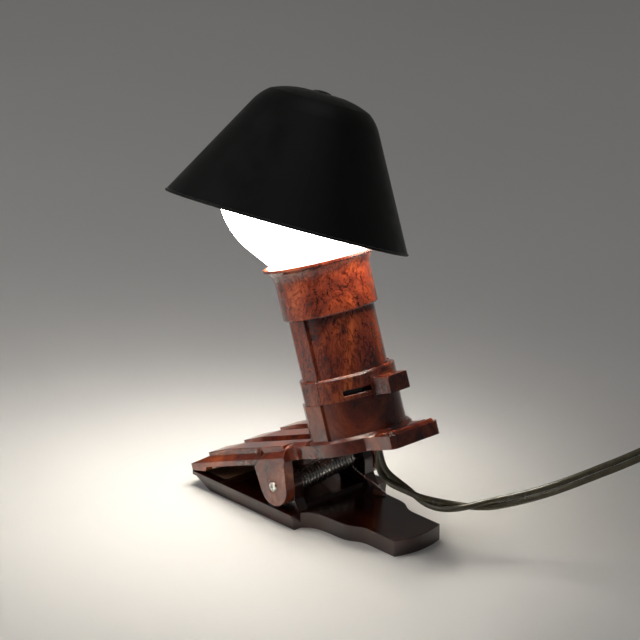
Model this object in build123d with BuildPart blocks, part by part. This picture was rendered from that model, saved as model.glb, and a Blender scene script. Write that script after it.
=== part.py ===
"""Clip-on lamp with an opal bulb and a tilting metal shade.

Millimetres. +X runs from the jaws' nose to the handle, +Y along the pivot pin, +Z up.
The origin is on the table, straight below the pivot pin.
"""
import math
import os

from build123d import *

os.makedirs("parts", exist_ok=True)

# Clamp
jaw_half_width = 25.0
jaw_thickness = 6.3
nose_x = -48.3
wide_end_x = 10.3
tail_x = 53.0
tail_half_width = 11.6
pivot_height = 15.0
pin_radius = 1.5
head_recess = 0.3
upright_half = 7.0
running_gap = 0.05

# Upper deck: measured along it from the nose (s) and up from its underside (n)
deck_tilt = 19.7
pivot_s = 47.0
pivot_n = -8.9
tip_s = -0.7
ledge_height = 2.0
plate_height = 4.0
waist_height = 5.1
rib_height = 6.3
platform_half_width = 23.0
rib_start_s = 9.5
crest_s = 20.5
groove_width = 8.8
groove_y = 9.4
wide_end_s = 57.3
band_width = 2.8
handle_end_s = 106.8
handle_half_width = 12.0
ear_radius = 7.6
ear_thickness = 4.3

# Lampholder, on an axis square to the deck
lamp_s = 74.1
skirt_radius = 20.3
base_radius = 18.4
cup_top = 19.7
collar_top = 28.8
ring_bottom = 51.9
lip_top = 72.5
bore_radius = 15.2
sleeve_radius = 16.4
ring_radius = 18.2
lip_radius = 21.4
pilaster_half = 4.5
slot_height = 22.5
thread_radius = 13.1

# Bulb and shade
bulb_radius = 31.4
bulb_n = 100.5
glass = 0.8
shade_sheet = 0.5
shade_rim_radius = 46.9
shade_rim_drop = 14.9
shoulder_radius = 24.3
shoulder_rise = 26.3
shade_top_rise = 35.0
shade_direction = Vector(-0.036, 0.391, 0.920)
shade_offset = Vector(-1.07, -0.98, 0.37)
clip_wire = 0.5

# Flex
core_radius = 1.2
twist_length = 66.0

deck_along = Vector(math.cos(math.radians(deck_tilt)), 0, math.sin(math.radians(deck_tilt)))
deck_up = Vector(-deck_along.Z, 0, deck_along.X)
toward_near = Vector(0, -1, 0)
pivot = Vector(0, 0, pivot_height)
nose = pivot - deck_along * pivot_s - deck_up * pivot_n
lamp_foot = nose + deck_along * lamp_s
bulb_centre = lamp_foot + deck_up * bulb_n

deck = Plane(origin=nose, x_dir=deck_along, z_dir=deck_up)
deck_side = Plane(origin=nose, x_dir=deck_along, z_dir=toward_near)
deck_end = Plane(origin=nose, x_dir=(0, 1, 0), z_dir=deck_along)
lamp = Plane(origin=lamp_foot, x_dir=deck_along, z_dir=deck_up)
lamp_section = Plane(origin=lamp_foot, x_dir=deck_along, z_dir=toward_near)
lamp_axis = Axis(lamp_foot, deck_up)

# The clip is centred on the bulb; the shade sits a little to one side of it
shade_centre = bulb_centre + shade_offset
shade_across = shade_direction.cross(deck_up).normalized()
shade_axis = Axis(shade_centre, shade_direction)
shade_section = Plane(origin=shade_centre, x_dir=shade_across,
                      z_dir=shade_across.cross(shade_direction))
clip_axis = Axis(bulb_centre, shade_direction)
clip_plane = Plane(origin=bulb_centre, x_dir=shade_across, z_dir=shade_direction)
clip_section = Plane(origin=bulb_centre, x_dir=shade_across,
                     z_dir=shade_across.cross(shade_direction))


def mirrored_loop(half):
    """Points of a closed outline from those of its near half."""
    return half + [(-across, up) for across, up in reversed(half)]


# Lower jaw: flat sole, waisted toward the tail, with two uprights for the pin
with BuildPart() as lower_jaw:
    with BuildSketch() as sole:
        with BuildLine():
            near_edge = Polyline((nose_x, 0), (nose_x, -jaw_half_width + 0.6),
                                 (nose_x + 0.6, -jaw_half_width), (wide_end_x, -jaw_half_width),
                                 (wide_end_x, -20.2))
            waist = Spline((wide_end_x, -20.2), (17.5, -16.0), (31.0, -14.6), (39.5, -tail_half_width),
                           tangents=[(0.6, 1), (1, 0)])
            tail_edge = Line(waist @ 1, (tail_x, -tail_half_width))
            ThreePointArc(tail_edge @ 1, (tail_x + 1.6, -tail_half_width / 2), (tail_x + 2.2, 0))
            Line((tail_x + 2.2, 0), near_edge @ 0)
        make_face()
        mirror(about=Plane.XZ)
    extrude(amount=jaw_thickness)
    # Draft under the lip of the wide part
    with BuildSketch(Plane.YZ.offset(nose_x)) as draft:
        with Locations((0, 0)):
            for side in (-1, 1):
                with BuildLine():
                    Polyline((side * 26, -1), (side * 26, 4.8), (side * 24.1, 4.8),
                             (side * 23.4, -1), close=True)
                make_face()
    extrude(amount=wide_end_x - nose_x + 1, mode=Mode.SUBTRACT)
    # The nose lifts clear of the table
    with BuildSketch(Plane.XZ) as nose_lift:
        with BuildLine():
            Polyline((nose_x - 1, -1), (nose_x - 1, 5.0), (nose_x, 5.0), (nose_x + 9.5, 0),
                     (nose_x + 9.5, -1), close=True)
        make_face()
    extrude(amount=30, both=True, mode=Mode.SUBTRACT)
    # Pocket for the grip pad
    with BuildSketch(Plane.XY.offset(jaw_thickness)):
        with Locations((nose_x + 10, 0)):
            RectangleRounded(12, 42, 1.5)
    extrude(amount=-0.8, mode=Mode.SUBTRACT)
    # Uprights
    with BuildSketch(Plane.XZ.offset(-15.8)) as upright:
        with BuildLine():
            Polyline((-upright_half, pivot_height), (-upright_half, 10.5), (-9.5, jaw_thickness),
                     (-9.5, 5), (9.5, 5), (9.5, jaw_thickness), (upright_half, 10.5),
                     (upright_half, pivot_height))
            ThreePointArc((upright_half, pivot_height), (0, pivot_height + upright_half),
                          (-upright_half, pivot_height))
        make_face()
        with Locations((0, pivot_height)):
            Circle(pin_radius + running_gap, mode=Mode.SUBTRACT)
    extrude(amount=-4.6)
    mirror(about=Plane.XZ)
    # Low stop rib under the coil
    with BuildSketch(Plane.XY.offset(jaw_thickness)):
        with Locations((1.0, 0)):
            Rectangle(13, 31.6)
    extrude(amount=1.2)

with BuildPart() as lower_grip_pad:
    with BuildSketch(Plane.XY.offset(jaw_thickness)):
        with Locations((nose_x + 10, 0)):
            RectangleRounded(12, 42, 1.5)
    extrude(amount=-0.8)

# Torsion spring on the pin, lying askew: its near end hangs low and its far end rides high
coil_radius = 3.6
coil_wire = 0.5
coil_half_length = 14.0
coil_skew = 1.5
coil_turns = 18.5
coil_start = Vector(0, -coil_half_length, pivot_height - coil_skew)
coil_run = Vector(0, 2 * coil_half_length, 2 * coil_skew)
coil = Helix(pitch=coil_run.length / coil_turns, height=coil_run.length, radius=coil_radius,
             center=coil_start, direction=coil_run, lefthand=True)
with BuildPart() as torsion_spring:
    with BuildSketch(Plane(origin=coil @ 0, z_dir=coil % 0)):
        Circle(coil_wire)
    sweep(path=coil, is_frenet=True)

# Its legs bear on the deck above and on the jaw below
with BuildPart() as spring_legs:
    for start, leg in ((coil @ 0, Vector(15.0, 0, 11.6)), (coil @ 1, Vector(20.0, 0, -5.9))):
        with BuildSketch(Plane(origin=start, z_dir=leg)):
            Circle(coil_wire)
        extrude(amount=leg.length)

# Pin riveted through the ears of the upper jaw
with BuildPart() as pivot_pin:
    with BuildSketch(Plane.XZ.offset(-jaw_half_width)):
        with Locations((0, pivot_height)):
            Circle(pin_radius)
    extrude(amount=2 * jaw_half_width)

with BuildPart() as pin_heads:
    for side in (-1, 1):
        seat = Plane(origin=(0, side * (jaw_half_width - head_recess), pivot_height),
                     z_dir=(0, side, 0))
        with BuildSketch(seat):
            Circle(1.9)
            Circle(pin_radius, mode=Mode.SUBTRACT)
        extrude(amount=head_recess)
        with BuildSketch(seat.offset(head_recess)):
            Circle(1.9)
            Circle(0.8, mode=Mode.SUBTRACT)
        extrude(amount=0.4, taper=25)

# Upper jaw: ribbed nose, ears, waisted handle and the cup that carries the lampholder
with BuildPart() as upper_jaw:
    with BuildSketch(deck_end.offset(tip_s)):
        with BuildLine():
            Polyline(mirrored_loop([(-jaw_half_width, 0), (-jaw_half_width, ledge_height),
                                    (-platform_half_width, plate_height)]), close=True)
        make_face()
    extrude(amount=wide_end_s - tip_s)
    # Sloping nose in front of the ribs
    with BuildSketch(deck_side):
        with BuildLine():
            Polyline((tip_s - 1, ledge_height - 0.2), (tip_s, ledge_height - 0.2),
                     (rib_start_s, plate_height), (rib_start_s, plate_height + 1),
                     (tip_s - 1, plate_height + 1), close=True)
        make_face()
    extrude(amount=30, both=True, mode=Mode.SUBTRACT)
    # Ribbed block with a sloping front
    with BuildSketch(deck_side):
        with BuildLine():
            Polyline((rib_start_s, 2), (rib_start_s, rib_height - 0.9), (crest_s, rib_height),
                     (wide_end_s - 1, rib_height), (wide_end_s - 1, 2), close=True)
        make_face()
    extrude(amount=platform_half_width, both=True)
    # Waist and handle
    with BuildSketch(deck):
        with BuildLine():
            front = Polyline((wide_end_s - 2.5, 0), (wide_end_s - 2.5, -22.2), (wide_end_s, -22.2))
            hollow = ThreePointArc(front @ 1, (wide_end_s + 1.3, -20.9),
                                   (wide_end_s + 3.8, -skirt_radius))
            flank = Line(hollow @ 1, (lamp_s, -skirt_radius))
            turn = math.radians(-36.3)
            round_off = ThreePointArc(
                flank @ 1,
                (lamp_s + skirt_radius * math.cos(math.radians(-63)),
                 skirt_radius * math.sin(math.radians(-63))),
                (lamp_s + skirt_radius * math.cos(turn), skirt_radius * math.sin(turn)))
            Polyline(round_off @ 1, (handle_end_s - 1.6, -handle_half_width),
                     (handle_end_s, -handle_half_width + 1.6), (handle_end_s, 0), front @ 0)
        make_face()
        mirror(about=Plane.XZ)
    extrude(amount=waist_height)
    # The ribs run on over the waist to the cup
    with BuildSketch(deck_end.offset(wide_end_s - 1)):
        with BuildLine():
            Polyline(mirrored_loop([(-skirt_radius, 0), (-skirt_radius, waist_height),
                                    (-18.0, rib_height)]), close=True)
        make_face()
    extrude(amount=9)
    # Rounded band that ends the wide part
    with BuildSketch(deck_end.offset(wide_end_s - band_width)):
        with BuildLine():
            foot_line = Polyline((-jaw_half_width, ledge_height), (-jaw_half_width, 0),
                                 (jaw_half_width, 0), (jaw_half_width, ledge_height))
            far_round = ThreePointArc(foot_line @ 1, (22.6, 4.8), (17.5, rib_height))
            top_line = Line(far_round @ 1, (-17.5, rib_height))
            ThreePointArc(top_line @ 1, (-22.6, 4.8), foot_line @ 0)
        make_face()
    extrude(amount=band_width)
    # Skirt
    with BuildSketch(lamp.offset(waist_height - 0.1)):
        Circle(skirt_radius)
    extrude(amount=1.0, taper=40)
    # Two grooves between three ribs
    for y in (-groove_y, groove_y):
        with BuildSketch(deck.offset(plate_height)):
            with Locations((31, y)):
                Rectangle(70, groove_width)
        extrude(amount=4, mode=Mode.SUBTRACT)
    # Bead across the end of the handle
    with BuildSketch(deck_side):
        with Locations((handle_end_s - 2.6, waist_height)):
            Circle(1.1)
        with Locations((handle_end_s - 6.2, waist_height)):
            Circle(0.8)
    extrude(amount=handle_half_width - 1.8, both=True)
    # Cup
    with BuildSketch(lamp):
        Circle(base_radius)
        Rectangle(2 * pilaster_half, 2 * 19.1)
    extrude(amount=cup_top)
    # Ears
    with BuildSketch(deck_side.offset(jaw_half_width - ear_thickness)):
        with BuildLine():
            drop = Polyline((38.6, 0.5), (38.6, 0), (pivot_s - ear_radius, pivot_n))
            ThreePointArc(drop @ 1, (pivot_s, pivot_n - ear_radius), (pivot_s + ear_radius, pivot_n))
            Polyline((pivot_s + ear_radius, pivot_n), (56.6, 0), (56.6, 0.5), (38.6, 0.5))
        make_face()
    extrude(amount=ear_thickness)
    mirror(about=Plane.XZ)
    # Small gussets between ledge and ribs
    with BuildSketch(deck_end.offset(40.2)):
        for side in (-1, 1):
            with BuildLine():
                Polyline((side * 24.8, ledge_height), (side * 22.8, rib_height - 0.1),
                         (side * 22.8, ledge_height), close=True)
            make_face()
    extrude(amount=2.4)
    # Gripping lip under the nose
    with BuildSketch(deck_side):
        with BuildLine():
            Polyline((tip_s, 0.5), (tip_s, -0.9), (7.2, -1.6), (9.0, 0.5), close=True)
        make_face()
    extrude(amount=jaw_half_width, both=True)
    # Hollow underside and bore of the cup
    with BuildSketch(deck):
        with Locations((28.5, 0)):
            RectangleRounded(32, 36, 3)
    extrude(amount=1.6, mode=Mode.SUBTRACT)
    with BuildSketch(lamp):
        Circle(bore_radius)
    extrude(amount=cup_top + 1, mode=Mode.SUBTRACT)
    # Pin hole, with a shallow seat for each head
    with BuildSketch(Plane.XZ):
        with Locations((0, pivot_height)):
            Circle(pin_radius)
    extrude(amount=30, both=True, mode=Mode.SUBTRACT)
    for side in (-1, 1):
        with BuildSketch(Plane.XZ.offset(side * (jaw_half_width - head_recess))):
            with Locations((0, pivot_height)):
                Circle(2.4)
        extrude(amount=side * 1.0, mode=Mode.SUBTRACT)

with BuildPart() as upper_grip_pad:
    with BuildSketch(deck):
        with Locations((10.6, 0)):
            Rectangle(2.4, 46)
    extrude(amount=-1.0)

# Switch collar, fuller toward the handle, with the slot for the knob
with BuildPart() as switch_collar:
    with BuildSketch(lamp.offset(cup_top)):
        Circle(17.6)
        Rectangle(2 * pilaster_half, 2 * 18.5)
    extrude(amount=collar_top - cup_top)
    with BuildSketch(lamp.offset(cup_top)):
        Circle(18.9)
        with Locations((-25 + 1.0, 0)):
            Rectangle(50, 50, mode=Mode.SUBTRACT)
    extrude(amount=collar_top - cup_top - 0.6)
    with BuildSketch(lamp.offset(cup_top)):
        Circle(bore_radius)
    extrude(amount=20, mode=Mode.SUBTRACT)
    fillet(switch_collar.faces().sort_by(lamp_axis)[-1].outer_wire().edges(), radius=0.5)
    # Slot swept round the axis by the knob's travel
    with BuildSketch(lamp.offset(slot_height - 1.0)):
        with BuildLine():
            mouth = Polyline((30 * math.cos(math.radians(-47)), 30 * math.sin(math.radians(-47))),
                             (0, 0),
                             (30 * math.cos(math.radians(14)), 30 * math.sin(math.radians(14))))
            ThreePointArc(mouth @ 0, (30 * math.cos(math.radians(-19)), 30 * math.sin(math.radians(-19))),
                          mouth @ 1)
        make_face()
    extrude(amount=2.0, mode=Mode.SUBTRACT)

# Knob and the carrier it turns inside the collar
knob_angle = 3.0
knob_dir = deck_along.rotate(Axis((0, 0, 0), deck_up), knob_angle)
knob_root = lamp_foot + deck_up * slot_height
knob_plane = Plane(origin=knob_root, x_dir=deck_up.cross(knob_dir), z_dir=knob_dir)
with BuildPart() as switch_knob:
    with BuildSketch(lamp.offset(slot_height - 4.2)):
        Circle(20.1)
        Circle(18.95, mode=Mode.SUBTRACT)
        with BuildLine():
            sector = Polyline((30 * math.cos(math.radians(-14)), 30 * math.sin(math.radians(-14))),
                              (0, 0),
                              (30 * math.cos(math.radians(20)), 30 * math.sin(math.radians(20))))
            ThreePointArc(sector @ 0, (30 * math.cos(math.radians(3)), 30 * math.sin(math.radians(3))),
                          sector @ 1)
        make_face(mode=Mode.INTERSECT)
    extrude(amount=8.4)
    with BuildSketch(knob_plane.offset(19.6)):
        RectangleRounded(10.6, 7.0, 0.7)
    extrude(amount=8.0, taper=2)
    with BuildSketch(knob_plane.offset(14.2)):
        Rectangle(5.2, 1.7)
    extrude(amount=5.6)

with BuildPart() as switch_rotor:
    with BuildSketch(lamp.offset(slot_height - 2.4)):
        Circle(14.2)
        Circle(12.2, mode=Mode.SUBTRACT)
    extrude(amount=4.8)

# Sleeve, with a flat pilaster each side and the threaded neck for the ring
with BuildPart() as holder_sleeve:
    with BuildSketch(lamp.offset(collar_top)):
        Circle(sleeve_radius)
        Rectangle(2 * pilaster_half - 0.6, 2 * 17.3)
    extrude(amount=ring_bottom - collar_top)
    with BuildSketch(lamp.offset(collar_top - 3.5)):
        Circle(bore_radius)
    extrude(amount=3.5)
    with BuildSketch(lamp.offset(ring_bottom)):
        Circle(15.8)
    extrude(amount=10)
    with BuildSketch(lamp.offset(collar_top - 3.5)):
        Circle(14.6)
    extrude(amount=60, mode=Mode.SUBTRACT)

with BuildPart() as top_ring:
    with BuildSketch(lamp_section):
        with BuildLine():
            inside = Polyline((15.9, ring_bottom), (15.9, 63.0), (16.6, 63.6))
            flare_in = ThreePointArc(inside @ 1, (17.6, 68.4), (20.6, lip_top - 0.3))
            lip = Polyline(flare_in @ 1, (20.9, lip_top), (lip_radius, lip_top - 0.2),
                           (lip_radius, lip_top - 1.2))
            flare_out = ThreePointArc(lip @ 1, (18.9, lip_top - 3.8), (ring_radius, lip_top - 7.6))
            Polyline(flare_out @ 1, (ring_radius, ring_bottom + 0.5), (ring_radius - 0.5, ring_bottom),
                     inside @ 0)
        make_face()
    revolve(axis=lamp_axis)

# Lampholder works
insert_base = 33.0
with BuildPart() as ceramic_insert:
    with BuildSketch(lamp.offset(insert_base)):
        Circle(14.5)
    extrude(amount=5.0)
    with BuildSketch(lamp.offset(insert_base - 5.0)):
        Rectangle(20, 9)
    extrude(amount=5.0)
    with BuildSketch(lamp.offset(insert_base - 5.0)):
        with Locations((0, 10.8), (0, -10.8)):
            Circle(1.4)
        with Locations((7, 0), (-7, 0)):
            Circle(1.3)
    extrude(amount=10, mode=Mode.SUBTRACT)

def rolled_thread(radius, start, end, pitch=3.6, depth=0.4):
    """Points down a rolled thread's profile, from start to end along the axis."""
    count = int((end - start) / (pitch / 2))
    return [(radius + (depth if step % 2 else 0), start + step * pitch / 2) for step in range(count + 1)]


# Screw shell: a drawn brass cup with its thread rolled in
shell_wall = 0.35
shell_inner = rolled_thread(thread_radius + 0.15, 42.0, 58.2)
shell_outer = [(r + shell_wall, n) for r, n in shell_inner]
with BuildPart() as thread_shell:
    with BuildSketch(lamp_section):
        with BuildLine():
            Polyline([(6.0, 38.0), (thread_radius + 0.9, 38.0)] + shell_outer
                     + list(reversed(shell_inner)) + [(thread_radius + 0.15, 38.5), (6.0, 38.5)],
                     close=True)
        make_face()
    revolve(axis=lamp_axis)

with BuildPart() as centre_contact:
    with BuildSketch(lamp_section):
        with BuildLine():
            Polyline((-5.2, 38.0), (-5.2, 38.4), (-2.0, 38.4), (1.0, 39.4), (3.6, 39.4), (3.6, 39.0),
                     (1.2, 39.0), (-1.8, 38.0), close=True)
        make_face()
    extrude(amount=2.0, both=True)

with BuildPart() as terminal_screws:
    for side in (-1, 1):
        seat = Plane(origin=lamp_foot + deck_up * (insert_base - 5.0) + Vector(0, 10.8 * side, 0),
                     x_dir=deck_along, z_dir=deck_up * -1)
        with BuildSketch(seat):
            Circle(2.4)
            Rectangle(5, 0.7, mode=Mode.SUBTRACT)
        extrude(amount=1.6)
        with BuildSketch(seat):
            Circle(1.4)
        extrude(amount=-6.0)

with BuildPart() as insert_screws:
    for side in (-1, 1):
        seat = Plane(origin=lamp_foot + deck_up * (insert_base - 5.0) + deck_along * (7 * side),
                     x_dir=deck_along, z_dir=deck_up * -1)
        with BuildSketch(seat):
            Circle(2.2)
            Rectangle(5, 0.6, mode=Mode.SUBTRACT)
        extrude(amount=1.4)
        with BuildSketch(seat):
            Circle(1.3)
        extrude(amount=-9.0)

# Cover under the cup, with the flex outlet toward the handle
with BuildPart() as base_cover:
    with BuildSketch(lamp.offset(0.4)):
        Circle(bore_radius - 0.05)
        with Locations((9.6, 0)):
            SlotOverall(6.8, 4.0, rotation=90, mode=Mode.SUBTRACT)
        with Locations((-10, 0)):
            Circle(1.3, mode=Mode.SUBTRACT)
    extrude(amount=1.8)

with BuildPart() as cover_screw:
    with BuildSketch(lamp.offset(0.4)):
        with Locations((-10, 0)):
            Circle(2.5)
        with Locations((-10, 0)):
            Rectangle(6, 0.7, rotation=30, mode=Mode.SUBTRACT)
    extrude(amount=-1.2)
    with BuildSketch(lamp.offset(0.4)):
        with Locations((-10, 0)):
            Circle(1.3)
    extrude(amount=7.0)

with BuildPart() as cord_grip:
    with BuildSketch(lamp.offset(2.2)):
        with Locations((9.6, 0)):
            RectangleRounded(4.6, 16, 1.5)
        with Locations((9.6, 0)):
            SlotOverall(6.8, 4.0, rotation=90, mode=Mode.SUBTRACT)
    extrude(amount=3.0)

# Flex: two cores twisted together as they leave the lamp, side by side further on
flex_route = [lamp_foot + deck_along * 9.6 + deck_up * 5.0,
              lamp_foot + deck_along * 9.6 + deck_up * 0.5,
              Vector(33.6, 0.8, 24.6), Vector(43.8, 3.0, 19.8), Vector(50.8, 4.1, 18.0),
              Vector(58.0, 5.9, 17.6), Vector(66.0, 9.7, 18.2), Vector(78.1, 18.4, 21.5),
              Vector(95.9, 31.4, 30.0), Vector(109.4, 42.8, 38.5), Vector(121.0, 53.0, 46.5)]
flex_centre = Spline(*flex_route, tangents=[deck_up * -1, Vector(0.66, 0.59, 0.47)])


def core_path(side):
    """Centre line of one core, wound round the flex and easing flat along its length."""
    points = []
    for step in range(61):
        u = step / 60
        along = flex_centre.length * u
        turn = math.pi / 2 + 2.5 * math.pi * min(along / twist_length, 1.0)
        heading = (flex_centre % u).normalized()
        level = Vector(0, 1, 0)
        rise = heading.cross(level).normalized()
        spread = core_radius + 0.03
        points.append((flex_centre @ u)
                      + (level * math.sin(turn) + rise * math.cos(turn)) * (spread * side))
    return Spline(*points)


for side, label in ((1, "flex_core_a"), (-1, "flex_core_b")):
    with BuildPart() as core:
        with BuildLine() as route:
            add(core_path(side))
        with BuildSketch(Plane(origin=route.line @ 0, z_dir=route.line % 0)):
            Circle(core_radius)
        sweep()
    core.part.label = label
    export_step(core.part, f"parts/{label}.step")

# Bulb: opal envelope, brass cap, contact and filament works
cone_half_angle = 38.0
tangent_r = bulb_radius * math.cos(math.radians(cone_half_angle))
tangent_n = bulb_n - bulb_radius * math.sin(math.radians(cone_half_angle))
neck_r = 12.2
neck_n = tangent_n - (tangent_r - neck_r) / math.tan(math.radians(cone_half_angle))
with BuildPart() as bulb_glass:
    with BuildSketch(lamp_section):
        with BuildLine():
            outer = Polyline((neck_r, 62.2), (neck_r, neck_n), (tangent_r, tangent_n))
            dome = ThreePointArc(outer @ 1, (bulb_radius, bulb_n), (0, bulb_n + bulb_radius))
            Line(dome @ 1, (0, bulb_n + bulb_radius - glass))
            inner_dome = ThreePointArc((0, bulb_n + bulb_radius - glass), (bulb_radius - glass, bulb_n),
                                       (tangent_r - 0.6, tangent_n + 0.5))
            Polyline(inner_dome @ 1, (neck_r - glass, neck_n + 0.3), (neck_r - glass, 62.2),
                     (neck_r, 62.2))
        make_face()
    revolve(axis=lamp_axis)

cap_outer = rolled_thread(thread_radius - 0.35, 43.5, 61.5)
cap_inner = [(r - 0.3, n) for r, n in cap_outer]
with BuildPart() as bulb_cap:
    with BuildSketch(lamp_section):
        with BuildLine():
            Polyline([(5.4, 41.4), (9.6, 42.4)] + cap_outer + [(neck_r + 0.7, 64.4), (neck_r + 0.05, 64.6)]
                     + list(reversed(cap_inner)) + [(9.6, 42.8), (5.4, 41.8)], close=True)
        make_face()
    revolve(axis=lamp_axis)

with BuildPart() as cap_insulator:
    with BuildSketch(lamp_section):
        with BuildLine():
            Polyline((3.2, 40.2), (5.4, 41.4), (5.4, 43.2), (2.6, 43.2), (2.6, 40.2), close=True)
        make_face()
    revolve(axis=lamp_axis)

with BuildPart() as bulb_tip_contact:
    with BuildSketch(lamp_section):
        with BuildLine():
            Polyline((0, 39.6), (1.6, 39.8), (2.6, 40.4), (2.6, 41.6), (0, 41.6), close=True)
        make_face()
    revolve(axis=lamp_axis)

with BuildPart() as bulb_stem:
    with BuildSketch(lamp_section):
        with BuildLine():
            Polyline((0, 63.4), (neck_r - glass, 63.4), (neck_r - glass, 64.2), (5.0, 66.0),
                     (2.6, 72.0), (2.2, 92.0), (0, 92.6), close=True)
        make_face()
    revolve(axis=lamp_axis)

with BuildPart() as filament:
    with BuildSketch(lamp.offset(98.0)):
        Circle(8.6)
        Circle(8.1, mode=Mode.SUBTRACT)
        with Locations((-9, 0)):
            Rectangle(10, 5, mode=Mode.SUBTRACT)
    extrude(amount=0.5)
    for angle in (-140, -50, 50, 140):
        reach = deck_along.rotate(Axis((0, 0, 0), deck_up), angle) * 8.3
        foot = lamp_foot + deck_up * 91.6 + reach * 0.12
        lead = lamp_foot + deck_up * 98.2 + reach - foot
        with BuildSketch(Plane(origin=foot, z_dir=lead)):
            Circle(0.25)
        extrude(amount=lead.length)

# Wire clip that hugs the bulb, the plate that joins it and the rivet through the shade
clip_path_radius = bulb_radius + running_gap + clip_wire


def on_bulb(radius, azimuth, polar):
    """Point on a sphere about the bulb's centre; polar runs down from the shade's axis."""
    flat = radius * math.sin(math.radians(polar))
    return clip_plane.from_local_coords((flat * math.cos(math.radians(azimuth)),
                                          flat * math.sin(math.radians(azimuth)),
                                          radius * math.cos(math.radians(polar))))


with BuildPart() as wire_clip:
    for middle in (0, 180):
        with BuildLine() as loop:
            down = ThreePointArc(on_bulb(clip_path_radius, middle - 24, 21),
                                 on_bulb(clip_path_radius, middle - 24, 62),
                                 on_bulb(clip_path_radius, middle - 24, 104))
            bend = ThreePointArc(down @ 1, on_bulb(clip_path_radius, middle, 112),
                                 on_bulb(clip_path_radius, middle + 24, 104))
            ThreePointArc(bend @ 1, on_bulb(clip_path_radius, middle + 24, 62),
                          on_bulb(clip_path_radius, middle + 24, 21))
        with BuildSketch(Plane(origin=loop.line @ 0, z_dir=loop.line % 0)):
            Circle(clip_wire)
        sweep(transition=Transition.ROUND)

plate_inner = bulb_radius + running_gap
plate_outer = plate_inner + 0.45
plate_edge = math.radians(20.6)
rivet_radius = 1.5
with BuildPart() as clip_bracket:
    with BuildSketch(clip_section):
        with BuildLine():
            low = ThreePointArc(
                (0, plate_inner),
                (plate_inner * math.sin(plate_edge / 2), plate_inner * math.cos(plate_edge / 2)),
                (plate_inner * math.sin(plate_edge), plate_inner * math.cos(plate_edge)))
            high = ThreePointArc(
                (plate_outer * math.sin(plate_edge), plate_outer * math.cos(plate_edge)),
                (plate_outer * math.sin(plate_edge / 2), plate_outer * math.cos(plate_edge / 2)),
                (0, plate_outer))
            Line(low @ 1, high @ 0)
            Line(high @ 1, low @ 0)
        make_face()
    revolve(axis=clip_axis)
    with BuildSketch(Plane(origin=shade_centre + shade_direction * 25, z_dir=shade_direction)):
        Circle(rivet_radius)
    extrude(amount=10, mode=Mode.SUBTRACT)

# Rivet with a spacer between the plate and the shade
with BuildPart() as shade_rivet:
    with BuildSketch(shade_section):
        with BuildLine():
            stem = Polyline((0, plate_inner + 0.1), (rivet_radius, plate_inner + 0.1),
                            (rivet_radius, plate_outer + 0.1), (2.6, plate_outer + 0.1),
                            (2.6, shade_top_rise - 0.6), (rivet_radius, shade_top_rise - 0.6),
                            (rivet_radius, shade_top_rise + 0.1), (3.5, shade_top_rise + 0.1),
                            (3.4, shade_top_rise + 0.3))
            head = ThreePointArc(stem @ 1, (2.2, shade_top_rise + 0.6), (0.6, shade_top_rise + 0.8))
            Polyline(head @ 1, (0, shade_top_rise + 0.8), stem @ 0)
        make_face()
    revolve(axis=shade_axis)


def shade_line(inset):
    """One face of the shade sheet from the rim to the rivet hole."""
    flank = Line((shade_rim_radius - 1.1 * inset, -shade_rim_drop),
                 (shoulder_radius - 0.88 * inset, shoulder_rise - 0.48 * inset))
    shoulder = ThreePointArc(
        flank @ 1,
        (shoulder_radius - 2.0 - 0.75 * inset, shoulder_rise + 2.8 - 0.66 * inset),
        (shoulder_radius - 5.0 - 0.5 * inset, shoulder_rise + 5.6 - 0.87 * inset))
    crown = ThreePointArc(shoulder @ 1, (13.0, shade_top_rise - 0.9 - inset),
                          (5.4, shade_top_rise - inset))
    Line(crown @ 1, (rivet_radius + 0.05, shade_top_rise - inset))


# Shade: spun sheet, straight cone, rounded shoulder, shallow crown and a rolled rim
with BuildPart() as shade:
    with BuildSketch(shade_section):
        with BuildLine():
            shade_line(0)
            shade_line(shade_sheet)
            Line((shade_rim_radius, -shade_rim_drop),
                 (shade_rim_radius - 1.1 * shade_sheet, -shade_rim_drop))
            Line((rivet_radius + 0.05, shade_top_rise),
                 (rivet_radius + 0.05, shade_top_rise - shade_sheet))
        make_face()
        with Locations((shade_rim_radius - shade_sheet / 2, -shade_rim_drop)):
            Circle(0.5)
    revolve(axis=shade_axis)

for name, piece in (
    ("lower_jaw", lower_jaw),
    ("lower_grip_pad", lower_grip_pad),
    ("torsion_spring", torsion_spring),
    ("spring_legs", spring_legs),
    ("pivot_pin", pivot_pin),
    ("pin_heads", pin_heads),
    ("upper_jaw", upper_jaw),
    ("upper_grip_pad", upper_grip_pad),
    ("switch_collar", switch_collar),
    ("switch_knob", switch_knob),
    ("switch_rotor", switch_rotor),
    ("holder_sleeve", holder_sleeve),
    ("top_ring", top_ring),
    ("ceramic_insert", ceramic_insert),
    ("thread_shell", thread_shell),
    ("centre_contact", centre_contact),
    ("terminal_screws", terminal_screws),
    ("insert_screws", insert_screws),
    ("base_cover", base_cover),
    ("cover_screw", cover_screw),
    ("cord_grip", cord_grip),
    ("bulb_glass", bulb_glass),
    ("bulb_cap", bulb_cap),
    ("cap_insulator", cap_insulator),
    ("bulb_tip_contact", bulb_tip_contact),
    ("bulb_stem", bulb_stem),
    ("filament", filament),
    ("wire_clip", wire_clip),
    ("clip_bracket", clip_bracket),
    ("shade_rivet", shade_rivet),
    ("shade", shade),
):
    piece.part.label = name
    export_step(piece.part, f"parts/{name}.step")
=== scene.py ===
"""Clip-on lamp: marbled brown plastic clamp and holder, opal bulb, black metal shade, twin flex."""

import math

import bmesh
import bpy
from mathutils import Matrix, Vector


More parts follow.
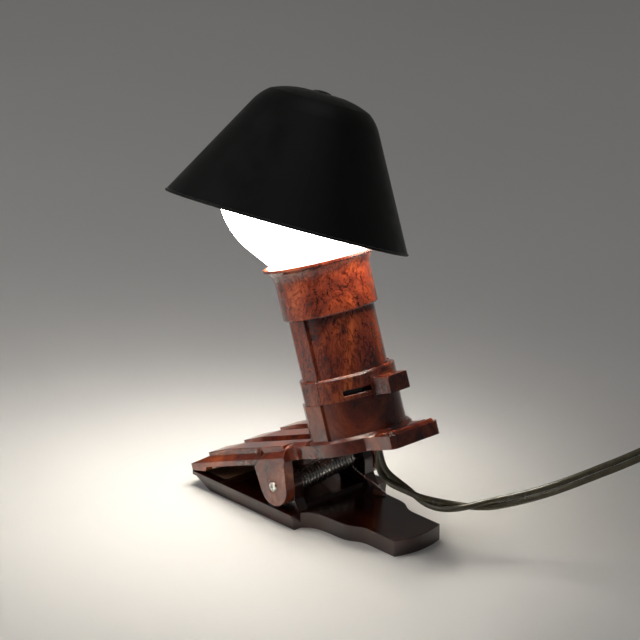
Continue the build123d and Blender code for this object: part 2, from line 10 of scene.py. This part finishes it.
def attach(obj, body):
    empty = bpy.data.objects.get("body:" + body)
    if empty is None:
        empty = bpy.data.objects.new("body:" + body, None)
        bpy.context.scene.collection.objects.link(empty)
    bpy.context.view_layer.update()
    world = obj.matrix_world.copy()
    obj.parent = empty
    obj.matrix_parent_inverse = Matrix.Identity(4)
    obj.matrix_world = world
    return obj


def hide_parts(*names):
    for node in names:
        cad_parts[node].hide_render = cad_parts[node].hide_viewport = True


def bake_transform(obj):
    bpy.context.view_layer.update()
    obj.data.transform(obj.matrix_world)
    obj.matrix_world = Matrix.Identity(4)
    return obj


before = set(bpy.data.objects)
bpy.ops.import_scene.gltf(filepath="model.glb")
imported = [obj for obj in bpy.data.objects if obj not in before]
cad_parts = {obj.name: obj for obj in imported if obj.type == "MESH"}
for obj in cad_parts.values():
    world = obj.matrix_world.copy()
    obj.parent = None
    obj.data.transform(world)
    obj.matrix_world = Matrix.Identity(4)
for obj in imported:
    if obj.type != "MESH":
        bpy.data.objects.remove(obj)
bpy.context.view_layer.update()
MM = 0.001

# The lamp's own axis and the centre of its bulb, as the part places them
DECK_TILT = math.radians(19.7)
LAMP_UP = Vector((-math.sin(DECK_TILT), 0, math.cos(DECK_TILT)))
LAMP_FOOT = Vector((22.51, 0, 32.51)) * MM
BULB_HEIGHT = 100.5 * MM
BULB_CENTRE = LAMP_FOOT + LAMP_UP * BULB_HEIGHT

# Sockets of a colour mix node
MIX_FACTOR = 0
MIX_FIRST = 6
MIX_SECOND = 7
MIX_RESULT = 2

# The camera: the direction it stands in, its distance and the point it faces
AZIMUTH = math.radians(48.06)
ELEVATION = math.radians(20.94)
ROLL = math.radians(0.1)
CAMERA_DISTANCE = 1.2059
CAMERA_AIM = Vector((-1.06, 0, 75.9)) * MM

# Backdrop: a floor that curves up into a wall behind the lamp
BACKDROP_AZIMUTH = math.radians(48)
FLOOR_NEAR = -3.0
FLOOR_FAR = 1.2
CURVE_RADIUS = 0.6
CURVE_STEPS = 12
WALL_TOP = 3.5
BACKDROP_HALF_WIDTH = 4.0


def new_material(name):
    """An empty node material and its principled shader."""
    material = bpy.data.materials.new(name)
    material.use_nodes = True
    tree = material.node_tree
    tree.nodes.clear()
    output = tree.nodes.new("ShaderNodeOutputMaterial")
    shader = tree.nodes.new("ShaderNodeBsdfPrincipled")
    tree.links.new(shader.outputs["BSDF"], output.inputs["Surface"])
    return material, tree, shader


def add(tree, kind, **settings):
    """A new node with its settings."""
    node = tree.nodes.new(kind)
    for key, value in settings.items():
        setattr(node, key, value)
    return node


def object_position(tree, stretch=(1, 1, 1), turn=0.0):
    """Position on the piece in millimetres, turned about Y and stretched."""
    place = add(tree, "ShaderNodeTexCoord")
    mapping = add(tree, "ShaderNodeMapping")
    mapping.inputs["Rotation"].default_value = (0, turn, 0)
    mapping.inputs["Scale"].default_value = [1000 * s for s in stretch]
    tree.links.new(place.outputs["Object"], mapping.inputs["Vector"])
    return mapping.outputs["Vector"]


def noise(tree, position, scale, detail=3.0, roughness=0.5, distortion=0.0):
    """Noise value over position."""
    node = add(tree, "ShaderNodeTexNoise")
    node.inputs["Scale"].default_value = scale
    node.inputs["Detail"].default_value = detail
    node.inputs["Roughness"].default_value = roughness
    node.inputs["Distortion"].default_value = distortion
    tree.links.new(position, node.inputs["Vector"])
    return node.outputs["Fac"]


def ramp(tree, value, stops):
    """Colour ramp over value from (place, colour) stops."""
    node = add(tree, "ShaderNodeValToRGB")
    elements = node.color_ramp.elements
    while len(elements) < len(stops):
        elements.new(0.5)
    for element, (place, colour) in zip(elements, stops):
        element.position = place
        element.color = (*colour, 1)
    tree.links.new(value, node.inputs["Fac"])
    return node.outputs["Color"]


def grey(level):
    """A colour with three equal parts."""
    return (level, level, level)


def mix(tree, factor, first, second, blend="MIX"):
    """Mixes second into first by factor. Each is a socket, or else a number or a colour."""
    node = add(tree, "ShaderNodeMix", data_type="RGBA", blend_type=blend)
    for key, value in ((MIX_FACTOR, factor), (MIX_FIRST, first), (MIX_SECOND, second)):
        if isinstance(value, bpy.types.NodeSocket):
            tree.links.new(value, node.inputs[key])
        elif key == MIX_FACTOR:
            node.inputs[key].default_value = value
        else:
            node.inputs[key].default_value = (*value, 1)
    return node.outputs[MIX_RESULT]


def calculate(tree, operation, first, second=0.0):
    """One sum on two sockets or numbers."""
    node = add(tree, "ShaderNodeMath", operation=operation)
    for key, value in ((0, first), (1, second)):
        if isinstance(value, bpy.types.NodeSocket):
            tree.links.new(value, node.inputs[key])
        else:
            node.inputs[key].default_value = value
    return node.outputs["Value"]


def soft_edges(tree, shader, radius_mm, height, strength, depth_mm):
    """Rounds sharp edges in the shading, with a slight bump over them."""
    edge = add(tree, "ShaderNodeBevel", samples=6)
    edge.inputs["Radius"].default_value = radius_mm * MM
    bump = add(tree, "ShaderNodeBump")
    bump.inputs["Strength"].default_value = strength
    bump.inputs["Distance"].default_value = depth_mm * MM
    tree.links.new(height, bump.inputs["Height"])
    tree.links.new(edge.outputs["Normal"], bump.inputs["Normal"])
    tree.links.new(bump.outputs["Normal"], shader.inputs["Normal"])


def marbled_plastic(name, turn=0.0, stretch=(1, 1, 1), seed=0.0, burl=0.8, tone=1.0):
    """Polished phenolic: red-brown body, darker clouds and thin curled burl lines."""
    material, tree, shader = new_material(name)
    position = object_position(tree, stretch, turn)
    shift = add(tree, "ShaderNodeVectorMath", operation="ADD")
    shift.inputs[1].default_value = (seed, seed * 0.7, seed * 1.3)
    tree.links.new(position, shift.inputs[0])
    position = shift.outputs[0]
    cloud = noise(tree, position, scale=0.06, detail=4.0, roughness=0.6, distortion=1.2)
    shades = [(0.32, (0.050, 0.010, 0.006)), (0.48, (0.130, 0.022, 0.010)),
              (0.60, (0.220, 0.042, 0.013)), (0.75, (0.330, 0.075, 0.020))]
    # tone scales the body colour; the copies below use it partly as painted light and painted shade,
    # brighter where the bulb lights a piece and darker for the shadowed lower jaw
    body = ramp(tree, cloud, [(place, [tone * c for c in colour]) for place, colour in shades])
    curl = noise(tree, position, scale=0.22, detail=4.0, roughness=0.6, distortion=1.6)
    from_line = calculate(tree, "ABSOLUTE", calculate(tree, "SUBTRACT", curl, 0.5))
    line = ramp(tree, from_line, [(0.006, (0.36, 0.20, 0.18)), (0.035, (0.85, 0.75, 0.7)),
                                  (0.07, grey(1.0))])
    patch = noise(tree, position, scale=0.42, detail=4.0, roughness=0.65, distortion=1.2)
    fleck = ramp(tree, patch, [(0.36, (0.25, 0.12, 0.10)), (0.47, grey(1.0))])
    with_lines = mix(tree, burl, body, line, "MULTIPLY")
    with_flecks = mix(tree, burl, with_lines, fleck, "MULTIPLY")
    tree.links.new(with_flecks, shader.inputs["Base Color"])
    dust = noise(tree, position, scale=0.9, detail=5.0, roughness=0.6)
    rough = ramp(tree, cloud, [(0.35, grey(0.13)), (0.7, grey(0.19))])
    tree.links.new(rough, shader.inputs["Roughness"])
    shader.inputs["IOR"].default_value = 1.75
    soft_edges(tree, shader, 0.45, dust, strength=0.05, depth_mm=0.04)
    return material


def metal(name, colour, roughness, grain=(1, 1, 1), scale=0.8):
    """Metal with a fine uneven finish."""
    material, tree, shader = new_material(name)
    position = object_position(tree, grain)
    wear = noise(tree, position, scale, detail=5.0, roughness=0.6)
    tone = ramp(tree, wear, [(0.3, [c * 0.72 for c in colour]), (0.7, colour)])
    tree.links.new(tone, shader.inputs["Base Color"])
    rough = ramp(tree, wear, [(0.3, grey(roughness * 1.4)), (0.7, grey(roughness * 0.8))])
    tree.links.new(rough, shader.inputs["Roughness"])
    shader.inputs["Metallic"].default_value = 1.0
    soft_edges(tree, shader, 0.12, wear, strength=0.1, depth_mm=0.03)
    return material


def plain_solid(name, colour, roughness, scale=0.6, spread=0.25, edge=0.2):
    """A non-metal with slight tone and roughness changes."""
    material, tree, shader = new_material(name)
    position = object_position(tree)
    tone = noise(tree, position, scale, detail=4.0, roughness=0.55)
    colours = ramp(tree, tone, [(0.3, [c * (1 - spread) for c in colour]),
                                (0.7, [min(1.0, c * (1 + spread)) for c in colour])])
    tree.links.new(colours, shader.inputs["Base Color"])
    rough = ramp(tree, tone, [(0.3, grey(roughness * 1.2)), (0.7, grey(roughness * 0.85))])
    tree.links.new(rough, shader.inputs["Roughness"])
    soft_edges(tree, shader, edge, tone, strength=0.15, depth_mm=0.05)
    return material


def opal_glass(name):
    """Lit opal glass: an even glow, a little weaker toward the rim."""
    material, tree, shader = new_material(name)
    position = object_position(tree)
    cloud = noise(tree, position, scale=0.05, detail=2.0)
    tone = ramp(tree, cloud, [(0.3, (0.90, 0.88, 0.84)), (0.7, (0.96, 0.95, 0.92))])
    tree.links.new(tone, shader.inputs["Base Color"])
    facing = add(tree, "ShaderNodeLayerWeight")
    facing.inputs["Blend"].default_value = 0.35
    glow = ramp(tree, facing.outputs["Facing"], [(0.0, (1.0, 0.97, 0.92)), (1.0, (0.86, 0.80, 0.74))])
    tree.links.new(glow, shader.inputs["Emission Color"])
    shader.inputs["Emission Strength"].default_value = 24.0
    shader.inputs["Roughness"].default_value = 0.3
    return material


def shade_paint(name):
    """Black stoved paint outside, white inside."""
    material, tree, shader = new_material(name)
    place = add(tree, "ShaderNodeTexCoord")
    from_bulb = add(tree, "ShaderNodeVectorMath", operation="SUBTRACT")
    from_bulb.inputs[1].default_value = BULB_CENTRE
    tree.links.new(place.outputs["Object"], from_bulb.inputs[0])
    outward = add(tree, "ShaderNodeVectorMath", operation="DOT_PRODUCT")
    tree.links.new(from_bulb.outputs[0], outward.inputs[0])
    tree.links.new(place.outputs["Normal"], outward.inputs[1])
    inside = calculate(tree, "LESS_THAN", outward.outputs["Value"], 0.0)
    position = object_position(tree)
    haze = noise(tree, position, scale=0.12, detail=5.0, roughness=0.6)
    black = ramp(tree, haze, [(0.3, (0.003, 0.003, 0.003)), (0.7, (0.007, 0.007, 0.007))])
    grain = noise(tree, position, scale=1.6)
    soft_edges(tree, shader, 0.35, grain, strength=0.06, depth_mm=0.04)
    colour = mix(tree, inside, black, (0.72, 0.70, 0.64))
    tree.links.new(colour, shader.inputs["Base Color"])
    rough = ramp(tree, haze, [(0.3, grey(0.34)), (0.75, grey(0.50))])
    tree.links.new(rough, shader.inputs["Roughness"])
    shader.inputs["Specular IOR Level"].default_value = 0.3
    return material


# The marbling of the holder and the ring is drawn out along the lamp's axis
bakelite = marbled_plastic("marbled_plastic", stretch=(0.8, 0.8, 0.8), burl=0.25, tone=1.1)
# The lower jaw's copy is darkened (tone 0.2) as painted shade, for the shadow the deck and holder
# cast over the lower jaw
bakelite_painted_shade = marbled_plastic("marbled_plastic_painted_shade", stretch=(0.7, 0.7, 0.7), burl=0.2, tone=0.2)
# The holder's copy is brightened (tone 1.25) as painted light, for the bulb's glow falling on it
bakelite_holder_painted_light = marbled_plastic("marbled_plastic_holder", turn=DECK_TILT, stretch=(1, 1, 0.42),
                                  seed=31, tone=1.25)
# The ring's copy is brightened more (tone 1.5) as painted light, for the bulb's glow on the ring just
# under the shade
bakelite_ring_painted_light = marbled_plastic("marbled_plastic_ring", turn=DECK_TILT, stretch=(1, 1, 0.7),
                                seed=77, tone=1.5)
bakelite_knob = marbled_plastic("marbled_plastic_knob", turn=DECK_TILT, stretch=(1.2, 1.2, 1.2),
                                seed=12, burl=0.4, tone=0.8)
steel = metal("spring_steel", (0.62, 0.60, 0.57), 0.22)
nickel = metal("nickel", (0.75, 0.72, 0.68), 0.25)
brass = metal("brass", (0.72, 0.50, 0.22), 0.3)
ceramic = plain_solid("ceramic", (0.80, 0.77, 0.70), 0.45)
pad = plain_solid("grip_pad", (0.30, 0.20, 0.12), 0.85, scale=1.4, spread=0.45)
flex = plain_solid("flex_sheath", (0.075, 0.064, 0.036), 0.24, scale=0.25, spread=0.3)
opal = opal_glass("opal_glass")
black_paint = shade_paint("shade_paint")
rivet_paint = plain_solid("rivet_paint", (0.012, 0.011, 0.011), 0.35)

finish = {
    "lower_jaw": bakelite_painted_shade, "upper_jaw": bakelite, "switch_collar": bakelite_holder_painted_light,
    "holder_sleeve": bakelite_holder_painted_light, "top_ring": bakelite_ring_painted_light, "switch_knob": bakelite_knob,
    "switch_rotor": bakelite_knob, "base_cover": bakelite, "cord_grip": bakelite,
    "lower_grip_pad": pad, "upper_grip_pad": pad, "torsion_spring": steel, "spring_legs": steel,
    "pivot_pin": nickel, "pin_heads": nickel, "terminal_screws": nickel, "insert_screws": nickel,
    "cover_screw": nickel, "ceramic_insert": ceramic, "cap_insulator": ceramic,
    "thread_shell": brass, "centre_contact": brass, "bulb_cap": brass, "bulb_tip_contact": nickel,
    "bulb_glass": opal, "bulb_stem": opal, "filament": steel, "wire_clip": steel,
    "clip_bracket": steel, "shade_rivet": rivet_paint, "shade": black_paint,
    "flex_core_a": flex, "flex_core_b": flex,
}
for node_name, node_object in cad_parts.items():
    node_object.data.materials.clear()
    node_object.data.materials.append(finish[node_name])


def copy_of(node_name, name, keep=lambda point: True):
    """A new piece in a node's place, with those points of its mesh that keep accepts."""
    shape = bmesh.new()
    shape.from_mesh(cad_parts[node_name].data)
    dropped = [vertex for vertex in shape.verts if not keep(vertex.co)]
    bmesh.ops.delete(shape, geom=dropped, context="VERTS")
    mesh = bpy.data.meshes.new(name)
    shape.to_mesh(mesh)
    shape.free()
    mesh.materials.append(finish[node_name])
    piece = bpy.data.objects.new(name, mesh)
    bpy.context.scene.collection.objects.link(piece)
    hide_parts(node_name)
    return piece


# Copies of the flex cores with their placement baked into the mesh; the imported cores are hidden
for node_name in ("flex_core_a", "flex_core_b"):
    core = copy_of(node_name, "bending_" + node_name)
    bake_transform(core)

# The spring winds up as the clamp opens: its near leg follows the deck and its far leg the jaw
deck_leg = copy_of("spring_legs", "spring_leg_deck", lambda point: point.y < 0)
jaw_leg = copy_of("spring_legs", "spring_leg_jaw", lambda point: point.y > 0)
for leg, body in ((deck_leg, "lamp"), (jaw_leg, "stand")):
    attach(leg, body)


def backdrop():
    """Pale table that curves up into a wall behind the lamp."""
    points = [(FLOOR_NEAR, 0.0), (FLOOR_FAR, 0.0)]
    for step in range(1, CURVE_STEPS + 1):
        turn = math.radians(90 * step / CURVE_STEPS)
        points.append((FLOOR_FAR + CURVE_RADIUS * math.sin(turn),
                       CURVE_RADIUS - CURVE_RADIUS * math.cos(turn)))
    points.append((FLOOR_FAR + CURVE_RADIUS, WALL_TOP))
    away = Vector((-math.sin(BACKDROP_AZIMUTH), math.cos(BACKDROP_AZIMUTH), 0))
    across = Vector((away.y, -away.x, 0))
    vertices = []
    for side in (-BACKDROP_HALF_WIDTH, BACKDROP_HALF_WIDTH):
        for depth, height in points:
            vertices.append(away * depth + across * side + Vector((0, 0, height)))
    count = len(points)
    faces = [(i, i + 1, count + i + 1, count + i) for i in range(count - 1)]
    mesh = bpy.data.meshes.new("backdrop")
    mesh.from_pydata(vertices, [], faces)
    for polygon in mesh.polygons:
        polygon.use_smooth = True
    floor = bpy.data.objects.new("backdrop", mesh)
    bpy.context.scene.collection.objects.link(floor)
    material, tree, shader = new_material("backdrop_paper")
    position = object_position(tree)
    tone = noise(tree, position, scale=0.004, detail=2.0)
    paper = ramp(tree, tone, [(0.3, (0.80, 0.79, 0.775)), (0.7, (0.83, 0.82, 0.805))])
    tree.links.new(paper, shader.inputs["Base Color"])
    shader.inputs["Roughness"].default_value = 0.6
    floor.data.materials.append(material)


def area_light(name, place, aim, width, power):
    """Square light at place, facing aim."""
    data = bpy.data.lights.new(name, "AREA")
    data.shape = "SQUARE"
    data.size = width
    data.energy = power
    light = bpy.data.objects.new(name, data)
    light.location = place
    light.rotation_euler = (Vector(aim) - Vector(place)).to_track_quat("-Z", "Y").to_euler()
    bpy.context.scene.collection.objects.link(light)


backdrop()
area_light("key", place=(-0.6, -0.9, 0.7), aim=(0, 0, 0.06), width=0.8, power=3.4)
area_light("top", place=(0.1, 0.2, 1.3), aim=(0, 0, 0), width=1.0, power=1.0)

world = bpy.data.worlds.new("studio")
world.use_nodes = True
sky = world.node_tree.nodes["Background"]
sky.inputs["Color"].default_value = (1.0, 0.98, 0.95, 1)
sky.inputs["Strength"].default_value = 0.08
bpy.context.scene.world = world

# Camera far off with a long lens
back = Vector((math.sin(AZIMUTH) * math.cos(ELEVATION), -math.cos(AZIMUTH) * math.cos(ELEVATION),
               math.sin(ELEVATION)))
camera_data = bpy.data.cameras.new("camera")
camera_data.lens = 180.0
camera_data.sensor_width = 36.0
camera_data.clip_end = 10
camera = bpy.data.objects.new("camera", camera_data)
camera.location = CAMERA_AIM + back * CAMERA_DISTANCE
facing = back.to_track_quat("Z", "Y").to_matrix()
camera.rotation_euler = (facing @ Matrix.Rotation(-ROLL, 3, "Z")).to_euler()
bpy.context.scene.collection.objects.link(camera)
bpy.context.scene.camera = camera
bpy.context.scene.view_settings.view_transform = "Standard"
